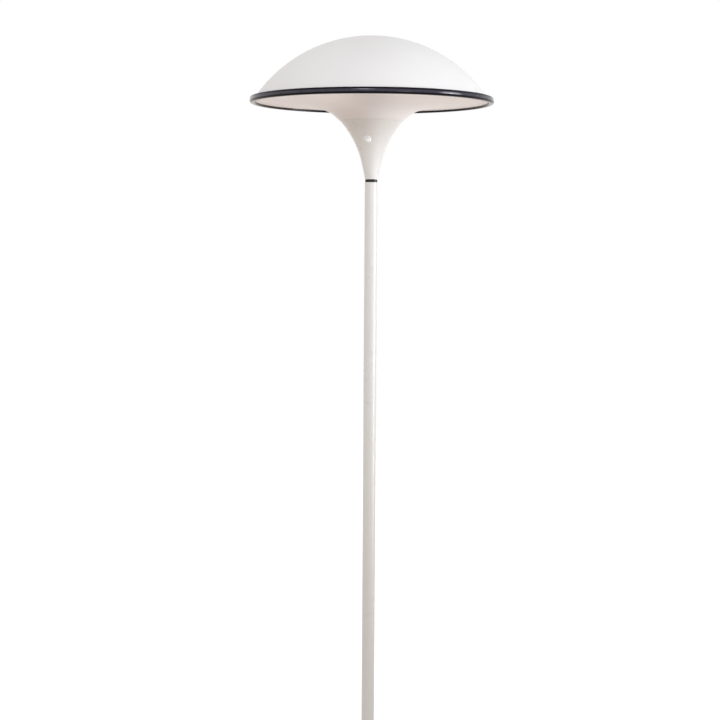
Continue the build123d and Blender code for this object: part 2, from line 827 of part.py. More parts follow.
with BuildPart() as bulb_cap:
    add(ring(0, bulb_cap_radius, bulb_cap_z, bulb_glass_z))
    with BuildSketch(Plane.XZ):
        for turn in range(bulb_thread_count):
            with Locations((bulb_cap_radius, bulb_cap_z + (turn + 1) * bulb_thread_pitch)):
                Circle(bulb_thread_depth)
    revolve(axis=Axis.Z, mode=Mode.SUBTRACT)
save(bulb_cap.part, "bulb_cap")

bulb_top_z = bulb_glass_z + bulb_glass_height
bulb_middle_z = bulb_top_z - bulb_radius

with BuildPart() as bulb_glass:
    with BuildSketch(Plane.XZ):
        with BuildLine():
            Polyline((0, bulb_top_z), (0, bulb_glass_z), (bulb_cap_radius, bulb_glass_z))
            Spline(
                (bulb_cap_radius, bulb_glass_z),
                (bulb_radius, bulb_middle_z),
                tangents=[(0, 1), (0, 1)],
            )
            RadiusArc((bulb_radius, bulb_middle_z), (0, bulb_top_z), -bulb_radius)
        make_face()
    revolve(axis=Axis.Z)
    offset(amount=-bulb_glass_wall, openings=faces().sort_by(Axis.Z)[0])
save(bulb_glass.part, "bulb_glass")

# ---------------------------------------------------------------- lead and wires
lead_axis_z = weight_foot_z + lead_diameter / 2 + rest_gap
lead_top_z = neck_foot_z + lead_top
block_front = block_distance - block_depth / 2


def tube_along(points, bend, radius):
    """A round tube along straight runs joined by arcs."""
    with BuildPart() as piece:
        with BuildLine() as path:
            FilletPolyline(*points, radius=bend)
        with BuildSketch(Plane(path.line @ 0, z_dir=path.line % 0)):
            Circle(radius)
        sweep(path=path.line)
    return piece.part


lead_route = [
    (0, block_front - rest_gap, lead_axis_z),
    (0, 0, lead_axis_z),
    (0, 0, lead_top_z),
]
inner_lead = tube_along(lead_route, lead_bend_radius, lead_diameter / 2)
save(inner_lead, "inner_lead")


def in_neck(towards_switch, aside, height):
    """A point inside the neck, placed from its axis: towards the switch, sideways and up."""
    return outward * towards_switch + sideways * aside + upward * height


def core_start(index):
    """Where a core leaves the lead's sheath."""
    angle = radians(120) * index
    return in_neck(core_circle_radius * cos(angle), core_circle_radius * sin(angle), lead_top_z)


def off_tab(side, distance):
    """A point straight off the end of a switch tab; side is -1 or 1."""
    return switch_plane.from_local_coords((side * tab_spacing / 2, 0, tab_foot - distance))


# All the wires rise from the lead behind the switch, which leaves its body clear.
rise = upward * wire_end_run
bulge_z = lead_top_z + wire_bulge_height
nipple_entry_z = holder_nipple_foot - wire_entry_run
feed_corner = off_tab(-1, wire_tab_run)
feed_aside = -tab_spacing / 2
earth_end = Vector(0, earth_screw_distance, plate_foot_z - screw_head_height)

wire_routes = {
    "wire_switch_feed": [
        core_start(0),
        core_start(0) + rise,
        in_neck(-feed_wire_distance, feed_aside, lead_top_z + feed_wire_shoulder),
        in_neck(-feed_wire_distance, feed_aside, feed_corner.Z - wire_tab_run / 2),
        feed_corner,
        off_tab(-1, 0),
    ],
    "wire_switch_return": [
        off_tab(1, 0),
        off_tab(1, wire_tab_run),
        in_neck(core_circle_radius, 0, nipple_entry_z),
        in_neck(core_circle_radius, 0, insert_foot_z),
    ],
    "wire_neutral": [
        core_start(1),
        core_start(1) + rise,
        in_neck(-neutral_wire_distance, 0, bulge_z),
        in_neck(-core_circle_radius, 0, nipple_entry_z),
        in_neck(-core_circle_radius, 0, insert_foot_z),
    ],
    "wire_earth": [
        core_start(2),
        core_start(2) + rise,
        in_neck(-earth_wire_distance, -earth_wire_aside, bulge_z),
        earth_end - rise,
        earth_end,
    ],
}
for name, route in wire_routes.items():
    save(tube_along(route, wire_bend_radius, wire_diameter / 2), name)
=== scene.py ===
import json
import math

import bmesh
import bpy
from mathutils import Matrix, Vector


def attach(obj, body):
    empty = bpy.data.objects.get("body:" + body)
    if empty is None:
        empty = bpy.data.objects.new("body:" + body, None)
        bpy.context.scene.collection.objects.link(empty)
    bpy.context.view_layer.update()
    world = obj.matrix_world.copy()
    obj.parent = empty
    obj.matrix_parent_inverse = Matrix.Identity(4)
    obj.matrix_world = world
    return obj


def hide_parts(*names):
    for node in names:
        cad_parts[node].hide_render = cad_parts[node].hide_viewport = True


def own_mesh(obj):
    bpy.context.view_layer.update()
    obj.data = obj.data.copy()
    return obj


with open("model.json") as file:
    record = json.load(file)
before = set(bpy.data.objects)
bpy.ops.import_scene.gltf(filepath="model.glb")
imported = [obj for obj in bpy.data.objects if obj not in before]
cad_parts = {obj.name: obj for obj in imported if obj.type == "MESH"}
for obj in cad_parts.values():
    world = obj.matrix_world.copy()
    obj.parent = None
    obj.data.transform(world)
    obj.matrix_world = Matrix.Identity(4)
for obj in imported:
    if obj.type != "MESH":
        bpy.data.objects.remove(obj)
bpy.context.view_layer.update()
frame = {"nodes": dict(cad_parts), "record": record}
nodes = frame["nodes"]
mm = 0.001
print("frame loaded:", len(nodes), "nodes")


# outlines, as (radius, height) in metres

holdShare, holdMost = 0.5, 0.25 * mm  # how far past a rounding its holding points lie
leastBend = 1e-9  # per metre; less is a straight line
weldDistance = 0.002 * mm


def roundedOutline(corners, steps=8):
    # corners: (radius, height, rounding); a rounded corner gets a holding point on each side
    outline = []
    for here, (radius, height, rounding) in enumerate(corners):
        point = Vector((radius, height))
        if rounding <= 0:
            outline.append(point)
            continue
        before = Vector(corners[here - 1][:2]) - point
        after = Vector(corners[(here + 1) % len(corners)][:2]) - point
        half = before.angle(after) / 2
        reach = rounding / math.tan(half)
        hold = reach + min(holdShare * rounding, holdMost)
        inward = (before.normalized() + after.normalized()).normalized()
        centre = point + inward * (rounding / math.sin(half))
        start = point + before.normalized() * reach - centre
        end = point + after.normalized() * reach - centre
        turn = start.angle_signed(end)  # clockwise is positive here
        if before.length > hold:
            outline.append(point + before.normalized() * hold)
        for step in range(steps + 1):
            outline.append(centre + Matrix.Rotation(-turn * step / steps, 2) @ start)
        if after.length > hold:
            outline.append(point + after.normalized() * hold)
    return outline


def tangentArcs(points, direction, spacing):
    # arcs through the points, each tangent to the last; gives (point, normal to the left of the way)
    heading = Vector(direction).normalized()
    way = []
    for start, end in zip(points, points[1:]):
        start, end = Vector(start), Vector(end)
        chord = end - start
        side = Vector((-heading.y, heading.x))
        bend = 2 * side.dot(chord) / chord.length_squared  # signed curvature, left is positive
        sweep = 2 * math.asin(max(-1.0, min(1.0, bend * chord.length / 2)))
        bent = abs(bend) > leastBend
        steps = max(2, round(abs(sweep / bend) / spacing)) if bent else 2
        for step in range(0 if not way else 1, steps + 1):
            angle = sweep * step / steps
            if bent:
                along = start + side / bend - (Matrix.Rotation(angle, 2) @ side) / bend
            else:
                along = start + chord * step / steps
            way.append((along, Matrix.Rotation(angle, 2) @ side))
        heading = Matrix.Rotation(sweep, 2) @ heading
    return way


def shifted(way, distance):
    return [point + normal * distance for point, normal in way]


def cutAtHeight(points, height):
    # points rise in order; what is above the height goes, and the line ends on it
    kept = [point for point in points if point.y < height]
    beyond = next((point for point in points if point.y >= height), None)
    if beyond is not None and kept:
        share = (height - kept[-1].y) / (beyond.y - kept[-1].y)
        kept.append(kept[-1].lerp(beyond, share))
    return kept


# geometry node trees

def addSocket(tree, name, kind, default=None):
    socket = tree.interface.new_socket(name, in_out="INPUT", socket_type="NodeSocket" + kind)
    if default is not None:
        socket.default_value = default


def addNode(tree, kind, values=None, **settings):
    node = tree.nodes.new(kind)
    for key, value in settings.items():
        setattr(node, key, value)
    for key, value in (values or {}).items():
        if isinstance(value, bpy.types.NodeSocket):
            tree.links.new(value, node.inputs[key])
        else:
            node.inputs[key].default_value = value
    return node


def maths(tree, operation, first, second=None, third=None):
    values = {place: value for place, value in enumerate((first, second, third)) if value is not None}
    return addNode(tree, "ShaderNodeMath", values, operation=operation).outputs[0]


def finishTree(tree, geometry, material):
    real = addNode(tree, "GeometryNodeRealizeInstances", {"Geometry": geometry})
    painted = addNode(tree, "GeometryNodeSetMaterial", {"Geometry": real.outputs[0], "Material": material})
    tree.interface.new_socket("Geometry", in_out="OUTPUT", socket_type="NodeSocketGeometry")
    addNode(tree, "NodeGroupOutput", {0: painted.outputs[0]})


def spinGrid(tree, pointCount, steps, position):
    # a sheet of pointCount rows; position gives a row's place at angle 0, which is spun round Z
    columns = maths(tree, "ADD", steps, 1)
    grid = addNode(tree, "GeometryNodeMeshGrid", {"Vertices X": pointCount, "Vertices Y": columns})
    index = addNode(tree, "GeometryNodeInputIndex").outputs[0]
    turn = maths(tree, "DIVIDE", maths(tree, "FLOORED_MODULO", index, columns), steps)
    angle = maths(tree, "MULTIPLY", turn, 2 * math.pi)
    spun = addNode(
        tree, "ShaderNodeVectorRotate", {"Vector": position, "Angle": angle}, rotation_type="Z_AXIS"
    )
    placed = addNode(
        tree, "GeometryNodeSetPosition", {"Geometry": grid.outputs["Mesh"], "Position": spun.outputs[0]}
    )
    merged = addNode(
        tree, "GeometryNodeMergeByDistance", {"Geometry": placed.outputs[0], "Distance": weldDistance}
    )
    return addNode(tree, "GeometryNodeSetShadeSmooth", {"Geometry": merged.outputs[0]}).outputs[0]


def rowOf(tree, steps):
    index = addNode(tree, "GeometryNodeInputIndex").outputs[0]
    return maths(tree, "FLOOR", maths(tree, "DIVIDE", index, maths(tree, "ADD", steps, 1)))


def buildSpinTree():
    tree = bpy.data.node_groups.new("spunOutline", "GeometryNodeTree")
    addSocket(tree, "Geometry", "Geometry")
    addSocket(tree, "Steps", "Int", 96)
    addSocket(tree, "Material", "Material")
    given = addNode(tree, "NodeGroupInput").outputs
    outline = given["Geometry"]
    size = addNode(tree, "GeometryNodeAttributeDomainSize", {"Geometry": outline})
    position = addNode(tree, "GeometryNodeInputPosition").outputs[0]
    sample = addNode(
        tree, "GeometryNodeSampleIndex", {"Geometry": outline}, data_type="FLOAT_VECTOR", domain="POINT"
    )
    tree.links.new(position, sample.inputs["Value"])
    tree.links.new(rowOf(tree, given["Steps"]), sample.inputs["Index"])
    sheet = spinGrid(tree, size.outputs["Point Count"], given["Steps"], sample.outputs[0])
    finishTree(tree, sheet, given["Material"])
    return tree


def buildDomeTree():
    # a cap of a sphere on a short upright skirt with a full round foot, as one closed shell
    tree = bpy.data.node_groups.new("domeShade", "GeometryNodeTree")
    addSocket(tree, "Geometry", "Geometry")
    sizes = {"Skirt Radius": 0.23, "Rise": 0.12, "Skirt Height": 0.005, "Wall": 0.003, "Foot Level": 0.0}
    for name, size in sizes.items():
        addSocket(tree, name, "Float", size)
    addSocket(tree, "Rings", "Int", 90)
    addSocket(tree, "Foot Rings", "Int", 8)
    addSocket(tree, "Steps", "Int", 192)
    addSocket(tree, "Material", "Material")
    given = addNode(tree, "NodeGroupInput").outputs
    skirt, rise, wall = given["Skirt Radius"], given["Rise"], given["Wall"]
    rings, footRings, steps = given["Rings"], given["Foot Rings"], given["Steps"]
    squares = maths(tree, "ADD", maths(tree, "POWER", skirt, 2), maths(tree, "POWER", rise, 2))
    sphere = maths(tree, "DIVIDE", squares, maths(tree, "MULTIPLY", rise, 2))
    knee = maths(tree, "ADD", given["Foot Level"], given["Skirt Height"])
    centre = maths(tree, "SUBTRACT", maths(tree, "ADD", knee, rise), sphere)
    innerSphere = maths(tree, "SUBTRACT", sphere, wall)
    innerSkirt = maths(tree, "SUBTRACT", skirt, wall)
    row = rowOf(tree, steps)
    footRow = maths(tree, "SUBTRACT", maths(tree, "SUBTRACT", row, rings), 1)
    lastFootRow = maths(tree, "ADD", rings, maths(tree, "ADD", footRings, 1))
    innerRow = maths(tree, "SUBTRACT", maths(tree, "SUBTRACT", row, lastFootRow), 1)

    def onSphere(radius, edge, share):
        angle = maths(tree, "MULTIPLY", maths(tree, "ARCSINE", maths(tree, "DIVIDE", edge, radius)), share)
        level = maths(tree, "MULTIPLY_ADD", radius, maths(tree, "COSINE", angle), centre)
        return maths(tree, "MULTIPLY", radius, maths(tree, "SINE", angle)), level

    outer = onSphere(sphere, skirt, maths(tree, "DIVIDE", row, rings))
    innerShare = maths(tree, "SUBTRACT", 1, maths(tree, "DIVIDE", innerRow, rings))
    inner = onSphere(innerSphere, innerSkirt, innerShare)
    halfWall = maths(tree, "MULTIPLY", wall, 0.5)
    footAngle = maths(tree, "MULTIPLY", maths(tree, "DIVIDE", footRow, footRings), math.pi)
    footMiddle = maths(tree, "SUBTRACT", skirt, halfWall)
    footCentre = maths(tree, "ADD", given["Foot Level"], halfWall)
    footDrop = maths(tree, "MULTIPLY", halfWall, maths(tree, "SINE", footAngle))
    foot = (
        maths(tree, "MULTIPLY_ADD", halfWall, maths(tree, "COSINE", footAngle), footMiddle),
        maths(tree, "SUBTRACT", footCentre, footDrop),
    )

    def isPast(last):
        rows = {"A": row, "B": last}
        return addNode(tree, "FunctionNodeCompare", rows, operation="GREATER_THAN").outputs[0]

    def either(choice, ifFalse, ifTrue):
        values = {"Switch": choice, "False": ifFalse, "True": ifTrue}
        return addNode(tree, "GeometryNodeSwitch", values, input_type="FLOAT").outputs[0]

    pastOuter, pastFoot = isPast(rings), isPast(lastFootRow)

    def pick(place):
        return either(pastFoot, either(pastOuter, outer[place], foot[place]), inner[place])

    position = addNode(tree, "ShaderNodeCombineXYZ", {"X": pick(0), "Z": pick(1)}).outputs[0]
    rowCount = maths(tree, "ADD", maths(tree, "MULTIPLY", rings, 2), maths(tree, "ADD", footRings, 3))
    finishTree(tree, spinGrid(tree, rowCount, steps, position), given["Material"])
    return tree


def buildCircleTree():
    # copies of one piece round a circle, all turned with it
    tree = bpy.data.node_groups.new("piecesInACircle", "GeometryNodeTree")
    addSocket(tree, "Geometry", "Geometry")
    addSocket(tree, "Count", "Int", 4)
    addSocket(tree, "Circle Radius", "Float", 0.1)
    addSocket(tree, "Start Angle", "Float", 0.0)
    addSocket(tree, "Material", "Material")
    given = addNode(tree, "NodeGroupInput").outputs
    circle = addNode(
        tree, "GeometryNodeMeshCircle", {"Vertices": given["Count"], "Radius": given["Circle Radius"]}
    )
    index = addNode(tree, "GeometryNodeInputIndex").outputs[0]
    angle = maths(tree, "MULTIPLY", maths(tree, "DIVIDE", index, given["Count"]), 2 * math.pi)
    facing = addNode(tree, "ShaderNodeCombineXYZ", {"Z": angle}).outputs[0]
    copies = addNode(
        tree,
        "GeometryNodeInstanceOnPoints",
        {"Points": circle.outputs[0], "Instance": given["Geometry"], "Rotation": facing},
    )
    turned = addNode(tree, "GeometryNodeTransform", {"Geometry": copies.outputs[0]})
    start = addNode(tree, "ShaderNodeCombineXYZ", {"Z": given["Start Angle"]})
    tree.links.new(start.outputs[0], turned.inputs["Rotation"])
    finishTree(tree, turned.outputs[0], given["Material"])
    return tree


def buildCoilTree():
    # a round wire wound in a coil, rising from height 0
    tree = bpy.data.node_groups.new("coiledWire", "GeometryNodeTree")
    addSocket(tree, "Geometry", "Geometry")
    for name, size in (("Turns", 5.0), ("Coil Radius", 0.003), ("Length", 0.01), ("Wire Radius", 0.0003)):
        addSocket(tree, name, "Float", size)
    addSocket(tree, "Steps Per Turn", "Int", 32)
    addSocket(tree, "Wire Sides", "Int", 10)
    addSocket(tree, "Material", "Material")
    given = addNode(tree, "NodeGroupInput").outputs
    coil = addNode(tree, "GeometryNodeCurveSpiral", {
        "Resolution": given["Steps Per Turn"], "Rotations": given["Turns"], "Height": given["Length"],
        "Start Radius": given["Coil Radius"], "End Radius": given["Coil Radius"],
    })
    ring = addNode(tree, "GeometryNodeCurvePrimitiveCircle", {
        "Resolution": given["Wire Sides"], "Radius": given["Wire Radius"],
    })
    wire = addNode(tree, "GeometryNodeCurveToMesh", {
        "Curve": coil.outputs[0], "Profile Curve": ring.outputs[0], "Fill Caps": True,
    })
    finishTree(tree, wire.outputs[0], given["Material"])
    return tree


def runTree(name, tree, values, mesh=None):
    # the tree's result as a plain mesh object; inputs are set by their identifiers
    source = bpy.data.objects.new(name + "Source", mesh or bpy.data.meshes.new(name + "Source"))
    bpy.context.scene.collection.objects.link(source)
    modifier = source.modifiers.new(name, "NODES")
    modifier.node_group = tree
    sockets = tree.interface.items_tree
    identifiers = {item.name: item.identifier for item in sockets if item.in_out == "INPUT"}
    for label, value in values.items():
        modifier[identifiers[label]] = value
    bpy.context.view_layer.update()
    evaluated = source.evaluated_get(bpy.context.evaluated_depsgraph_get())
    made = bpy.data.meshes.new_from_object(evaluated)
    made.name = name
    bpy.data.objects.remove(source)
    piece = bpy.data.objects.new(name, made)
    bpy.context.scene.collection.objects.link(piece)
    return piece


def closeUp(piece):
    # doubles merged, then all faces turned outwards
    work = bmesh.new()
    work.from_mesh(piece.data)
    bmesh.ops.remove_doubles(work, verts=work.verts, dist=weldDistance)
    bmesh.ops.recalc_face_normals(work, faces=work.faces)
    if work.calc_volume(signed=True) < 0:
        bmesh.ops.reverse_faces(work, faces=work.faces)
    openEdges = sum(not edge.is_manifold for edge in work.edges)
    if openEdges:
        print("open edges in", piece.name, openEdges)
    work.to_mesh(piece.data)
    work.free()
    for face in piece.data.polygons:
        face.use_smooth = True
    return piece


def outlineMesh(name, outline, closed):
    points = [Vector((point[0], 0, point[1])) for point in outline]
    if closed:
        points.append(points[0].copy())
    mesh = bpy.data.meshes.new(name + "Outline")
    mesh.from_pydata(points, [(place, place + 1) for place in range(len(points) - 1)], [])
    return mesh


def spinPiece(name, outline, material, steps=96, closed=True):
    values = {"Steps": steps, "Material": material}
    return closeUp(runTree(name, spinTree, values, outlineMesh(name, outline, closed)))


def circlePiece(name, single, material, count, circleRadius, startAngle=0.0):
    values = {
        "Count": count, "Circle Radius": circleRadius, "Start Angle": math.radians(startAngle),
        "Material": material,
    }
    mesh = single.data
    bpy.data.objects.remove(single)
    return closeUp(runTree(name, circleTree, values, mesh))


def roundCutter(name, radius, low, high, steps):
    return spinPiece(
        name, [(0, low), (radius, low), (radius, high), (0, high)], whiteLacquer, steps, closed=False
    )


def cutWith(piece, cutter):
    # takes the cutter's volume out of the piece
    cut = piece.modifiers.new("cut", "BOOLEAN")
    cut.operation, cut.solver, cut.object = "DIFFERENCE", "EXACT", cutter
    bpy.context.view_layer.update()
    mesh = bpy.data.meshes.new_from_object(piece.evaluated_get(bpy.context.evaluated_depsgraph_get()))
    piece.modifiers.clear()
    piece.data = mesh
    mesh.name = piece.name
    bpy.data.objects.remove(cutter)
    return closeUp(piece)


def settle(piece, body, replaced):
    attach(piece, body)
    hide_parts(replaced)


spinTree, domeTree = buildSpinTree(), buildDomeTree()
circleTree, coilTree = buildCircleTree(), buildCoilTree()


# shader groups shared by the finishes; each range is where a ramp starts and ends

skinLook = {
    "toneRange": (0.35, 0.65), "glossRange": (0.3, 0.7), "lacquerToneSize": 9.0, "lacquerGlossSize": 42.0,
    "grainGlossSize": 35.0, "grainShare": 0.6,
}
wearAndShadeLook = {"edgeRange": (0.01, 0.12), "grainRange": (0.42, 0.62), "samples": 4}
crestLook = {"uprightRange": (0.45, 0.1), "grainRange": (-0.4, 0.6)}
dustLook = {"upRange": (0.2, 1.0), "cloudRange": (0.35, 0.75), "speckRange": (0.25, 0.7), "speckSize": 1400.0}
skinInputs = [
    ("Gloss Low", "Float", 0.3), ("Gloss High", "Float", 0.4),
    ("Tone", "Color", (0.8, 0.8, 0.8, 1)), ("Second Tone", "Color", (0.78, 0.78, 0.78, 1)),
]
skinOutputs = [("Color", "Color"), ("Roughness", "Float"), ("Normal", "Vector")]


def startGroup(name, inputs, outputs):
    group = bpy.data.node_groups.new(name, "ShaderNodeTree")
    for label, kind, default in inputs:
        addSocket(group, label, kind, default)
    for label, kind in outputs:
        group.interface.new_socket(label, in_out="OUTPUT", socket_type="NodeSocket" + kind)
    given = addNode(group, "NodeGroupInput").outputs
    ending = addNode(group, "NodeGroupOutput").inputs
    place = addNode(group, "ShaderNodeTexCoord").outputs["Object"]
    return group, given, ending, place


def rampOf(group, value, span):
    # 0 at the span's first value and 1 at its second
    values = {"Value": value, "From Min": span[0], "From Max": span[1]}
    return addNode(group, "ShaderNodeMapRange", values, clamp=True).outputs[0]


def noiseOf(group, place, size, detail, roughness=0.5):
    values = {"Vector": place, "Scale": size, "Detail": detail, "Roughness": roughness}
    return addNode(group, "ShaderNodeTexNoise", values).outputs[0]


def mixOf(tree, kind, share, first, second):
    values = {"Factor": share, "A": first, "B": second}
    return addNode(tree, "ShaderNodeMix", values, data_type=kind).outputs["Result"]


def lookingUp(group):
    # the height of the normal: 1 where a face looks up, 0 where it stands upright
    real = addNode(group, "ShaderNodeNewGeometry")
    return addNode(group, "ShaderNodeSeparateXYZ", {0: real.outputs["Normal"]}).outputs["Z"]


def endSkin(group, given, ending, toneShare, patches, height, depth):
    # the two tones mixed by their share, gloss spread by the patches, and a bump in millimetres
    low, high = skinLook["glossRange"]
    gloss = addNode(group, "ShaderNodeMapRange", {
        "Value": patches, "From Min": low, "From Max": high,
        "To Min": given["Gloss Low"], "To Max": given["Gloss High"],
    })
    bump = addNode(group, "ShaderNodeBump", {
        "Strength": 1.0, "Height": height, "Distance": maths(group, "MULTIPLY", depth, mm),
    })
    tone = mixOf(group, "RGBA", toneShare, given["Tone"], given["Second Tone"])
    group.links.new(tone, ending["Color"])
    group.links.new(gloss.outputs[0], ending["Roughness"])
    group.links.new(bump.outputs[0], ending["Normal"])


def buildLacquerSkin():
    # the faint waviness of sprayed lacquer, with its own small change of gloss and tone
    sizes = [("Wave Size", "Float", 900.0), ("Wave Height", "Float", 0.02)]
    group, given, ending, place = startGroup("lacquerSkin", sizes + skinInputs, skinOutputs)
    waves = noiseOf(group, place, given["Wave Size"], 2.0)
    broad = noiseOf(group, place, skinLook["lacquerToneSize"], 3.0)
    patches = noiseOf(group, place, skinLook["lacquerGlossSize"], 4.0, 0.6)
    toneShare = rampOf(group, broad, skinLook["toneRange"])
    endSkin(group, given, ending, toneShare, patches, waves, given["Wave Height"])
    return group


def buildFineGrain():
    # speckled tone, uneven gloss and a small bump for moulded, cast and turned surfaces
    sizes = [("Size", "Float", 800.0), ("Depth", "Float", 0.05)]
    group, given, ending, place = startGroup("fineGrain", sizes + skinInputs, skinOutputs)
    grain = noiseOf(group, place, given["Size"], 5.0, 0.6)
    broad = noiseOf(group, place, skinLook["grainGlossSize"], 3.0)
    fine = skinLook["grainShare"]
    both = maths(group, "MULTIPLY_ADD", grain, fine, maths(group, "MULTIPLY", broad, 1 - fine))
    toneShare = rampOf(group, both, skinLook["toneRange"])
    endSkin(group, given, ending, toneShare, broad, grain, given["Depth"])
    return group


def buildEdgeWearAndCreaseShade():
    # 1 along convex edges that hands and cloths reach and also along inner creases such as the neck-flare
    # seam, broken up by noise; a darker colour in the creases is painted shade
    group, given, ending, place = startGroup(
        "edgeWearAndCreaseShade", [("Reach", "Float", 0.001), ("Amount", "Float", 0.5), ("Break Up", "Float", 300.0)],
        [("Mask", "Float")],
    )
    soft = addNode(group, "ShaderNodeBevel", {"Radius": given["Reach"]}, samples=wearAndShadeLook["samples"])
    real = addNode(group, "ShaderNodeNewGeometry")
    normals = {0: soft.outputs[0], 1: real.outputs["Normal"]}
    agree = addNode(group, "ShaderNodeVectorMath", normals, operation="DOT_PRODUCT").outputs["Value"]
    edge = rampOf(group, maths(group, "SUBTRACT", 1, agree), wearAndShadeLook["edgeRange"])
    grain = noiseOf(group, place, given["Break Up"], 4.0)
    broken = maths(group, "MULTIPLY", edge, rampOf(group, grain, wearAndShadeLook["grainRange"]))
    group.links.new(maths(group, "MULTIPLY", broken, given["Amount"]), ending["Mask"])
    return group


def buildPaintedCrestSheen():
    # 1 where a bead's face is upright, broken up by noise; it places a painted reflection, a lighter line
    # along the crest
    group, given, ending, place = startGroup(
        "paintedCrestSheen", [("Amount", "Float", 0.5), ("Break Up", "Float", 120.0)], [("Mask", "Float")]
    )
    upright = rampOf(group, maths(group, "ABSOLUTE", lookingUp(group)), crestLook["uprightRange"])
    grain = noiseOf(group, place, given["Break Up"], 3.0)
    sheenLine = maths(group, "MULTIPLY", upright, rampOf(group, grain, crestLook["grainRange"]))
    group.links.new(maths(group, "MULTIPLY", sheenLine, given["Amount"]), ending["Mask"])
    return group


def buildDustFilm():
    # thin dust where a face looks up
    group, given, ending, place = startGroup(
        "dustFilm", [("Amount", "Float", 0.2), ("Size", "Float", 60.0)], [("Mask", "Float")]
    )
    clouds = rampOf(group, noiseOf(group, place, given["Size"], 6.0, 0.65), dustLook["cloudRange"])
    specks = rampOf(group, noiseOf(group, place, dustLook["speckSize"], 1.0), dustLook["speckRange"])
    dust = maths(group, "MULTIPLY", rampOf(group, lookingUp(group), dustLook["upRange"]), clouds)
    dust = maths(group, "MULTIPLY", dust, specks)
    group.links.new(maths(group, "MULTIPLY", dust, given["Amount"]), ending["Mask"])
    return group


lacquerSkin, fineGrain = buildLacquerSkin(), buildFineGrain()
paintedCrestSheen, edgeWearAndCreaseShade, dustFilm = buildPaintedCrestSheen(), buildEdgeWearAndCreaseShade(), buildDustFilm()


def finishOf(name, skin, skinValues, crest=None, wearAndShade=None, dust=None, sockets=None):
    # one finish: a skin group, with a painted reflection line on the crest, worn edges whose colour also
    # paints shade into inner creases, and dust laid over its colour and gloss
    material = bpy.data.materials.new(name)
    material.use_nodes = True
    tree = material.node_tree
    shader = tree.nodes["Principled BSDF"]
    base = addNode(tree, "ShaderNodeGroup", skinValues, node_tree=skin)
    colour, gloss = base.outputs["Color"], base.outputs["Roughness"]
    for group, layer in ((paintedCrestSheen, crest), (edgeWearAndCreaseShade, wearAndShade), (dustFilm, dust)):
        if not layer:
            continue
        mask = addNode(tree, "ShaderNodeGroup", layer["group"], node_tree=group).outputs["Mask"]
        colour = mixOf(tree, "RGBA", mask, colour, layer["colour"])
        gloss = mixOf(tree, "FLOAT", mask, gloss, layer["gloss"])
        if layer is crest:
            tree.links.new(mask, shader.inputs["Coat Weight"])  # the crest line also gets a coat, so its real reflection is stronger too
    tree.links.new(colour, shader.inputs["Base Color"])
    tree.links.new(gloss, shader.inputs["Roughness"])
    tree.links.new(base.outputs["Normal"], shader.inputs["Normal"])
    for label, value in (sockets or {}).items():
        shader.inputs[label].default_value = value
    return material


whiteLacquer = finishOf(
    "whiteLacquer", lacquerSkin,
    {"Wave Size": 900.0, "Wave Height": 0.012, "Gloss Low": 0.26, "Gloss High": 0.33,
     "Tone": (0.76, 0.75, 0.735, 1), "Second Tone": (0.745, 0.735, 0.717, 1)},
    # painted shade: this worn colour also darkens inner creases of the lacquer
    wearAndShade={"group": {"Reach": 0.0008, "Amount": 0.12, "Break Up": 350.0},
          "colour": (0.6, 0.575, 0.54, 1), "gloss": 0.45},
    dust={"group": {"Amount": 0.1, "Size": 30.0}, "colour": (0.69, 0.67, 0.64, 1), "gloss": 0.6},
    sockets={"IOR": 1.5},
)
flareLacquer = finishOf(
    "flareLacquer", lacquerSkin,
    {"Wave Size": 700.0, "Wave Height": 0.012, "Gloss Low": 0.34, "Gloss High": 0.42,
     "Tone": (0.845, 0.815, 0.82, 1), "Second Tone": (0.83, 0.80, 0.803, 1)},
    # painted shade: this worn colour also darkens inner creases of the lacquer
    wearAndShade={"group": {"Reach": 0.0008, "Amount": 0.1, "Break Up": 350.0},
          "colour": (0.6, 0.565, 0.53, 1), "gloss": 0.5},
    sockets={"IOR": 1.5},
)
opalShade = finishOf(
    "opalShade", lacquerSkin,
    {"Wave Size": 420.0, "Wave Height": 0.01, "Gloss Low": 0.46, "Gloss High": 0.54,
     "Tone": (0.84, 0.828, 0.832, 1), "Second Tone": (0.825, 0.812, 0.815, 1)},
    dust={"group": {"Amount": 0.1, "Size": 30.0}, "colour": (0.7, 0.68, 0.66, 1), "gloss": 0.75},
    sockets={"IOR": 1.46},
)
darkBand = finishOf(
    "darkBand", fineGrain,
    {"Size": 500.0, "Depth": 0.004, "Gloss Low": 0.1, "Gloss High": 0.17,
     "Tone": (0.003, 0.0027, 0.006, 1), "Second Tone": (0.005, 0.0045, 0.009, 1)},
    # painted reflection: the crest colour is a lighter violet line that stands in for the band's glossy
    # reflection
    crest={"group": {"Amount": 0.9, "Break Up": 120.0}, "colour": (0.034, 0.029, 0.05, 1), "gloss": 0.06},
    wearAndShade={"group": {"Reach": 0.001, "Amount": 0.2, "Break Up": 500.0},
          "colour": (0.05, 0.05, 0.06, 1), "gloss": 0.4},
    dust={"group": {"Amount": 0.03, "Size": 60.0}, "colour": (0.3, 0.29, 0.28, 1), "gloss": 0.6},
    sockets={"IOR": 1.128, "Coat IOR": 1.44, "Coat Roughness": 0.07},
)
blackGloss = finishOf(
    "blackGloss", fineGrain,
    {"Size": 900.0, "Depth": 0.003, "Gloss Low": 0.08, "Gloss High": 0.14,
     "Tone": (0.006, 0.006, 0.006, 1), "Second Tone": (0.01, 0.01, 0.01, 1)},
    wearAndShade={"group": {"Reach": 0.0006, "Amount": 0.25, "Break Up": 700.0},
          "colour": (0.06, 0.06, 0.06, 1), "gloss": 0.4},
    sockets={"IOR": 1.12, "Coat Weight": 0.6, "Coat Roughness": 0.02},
)
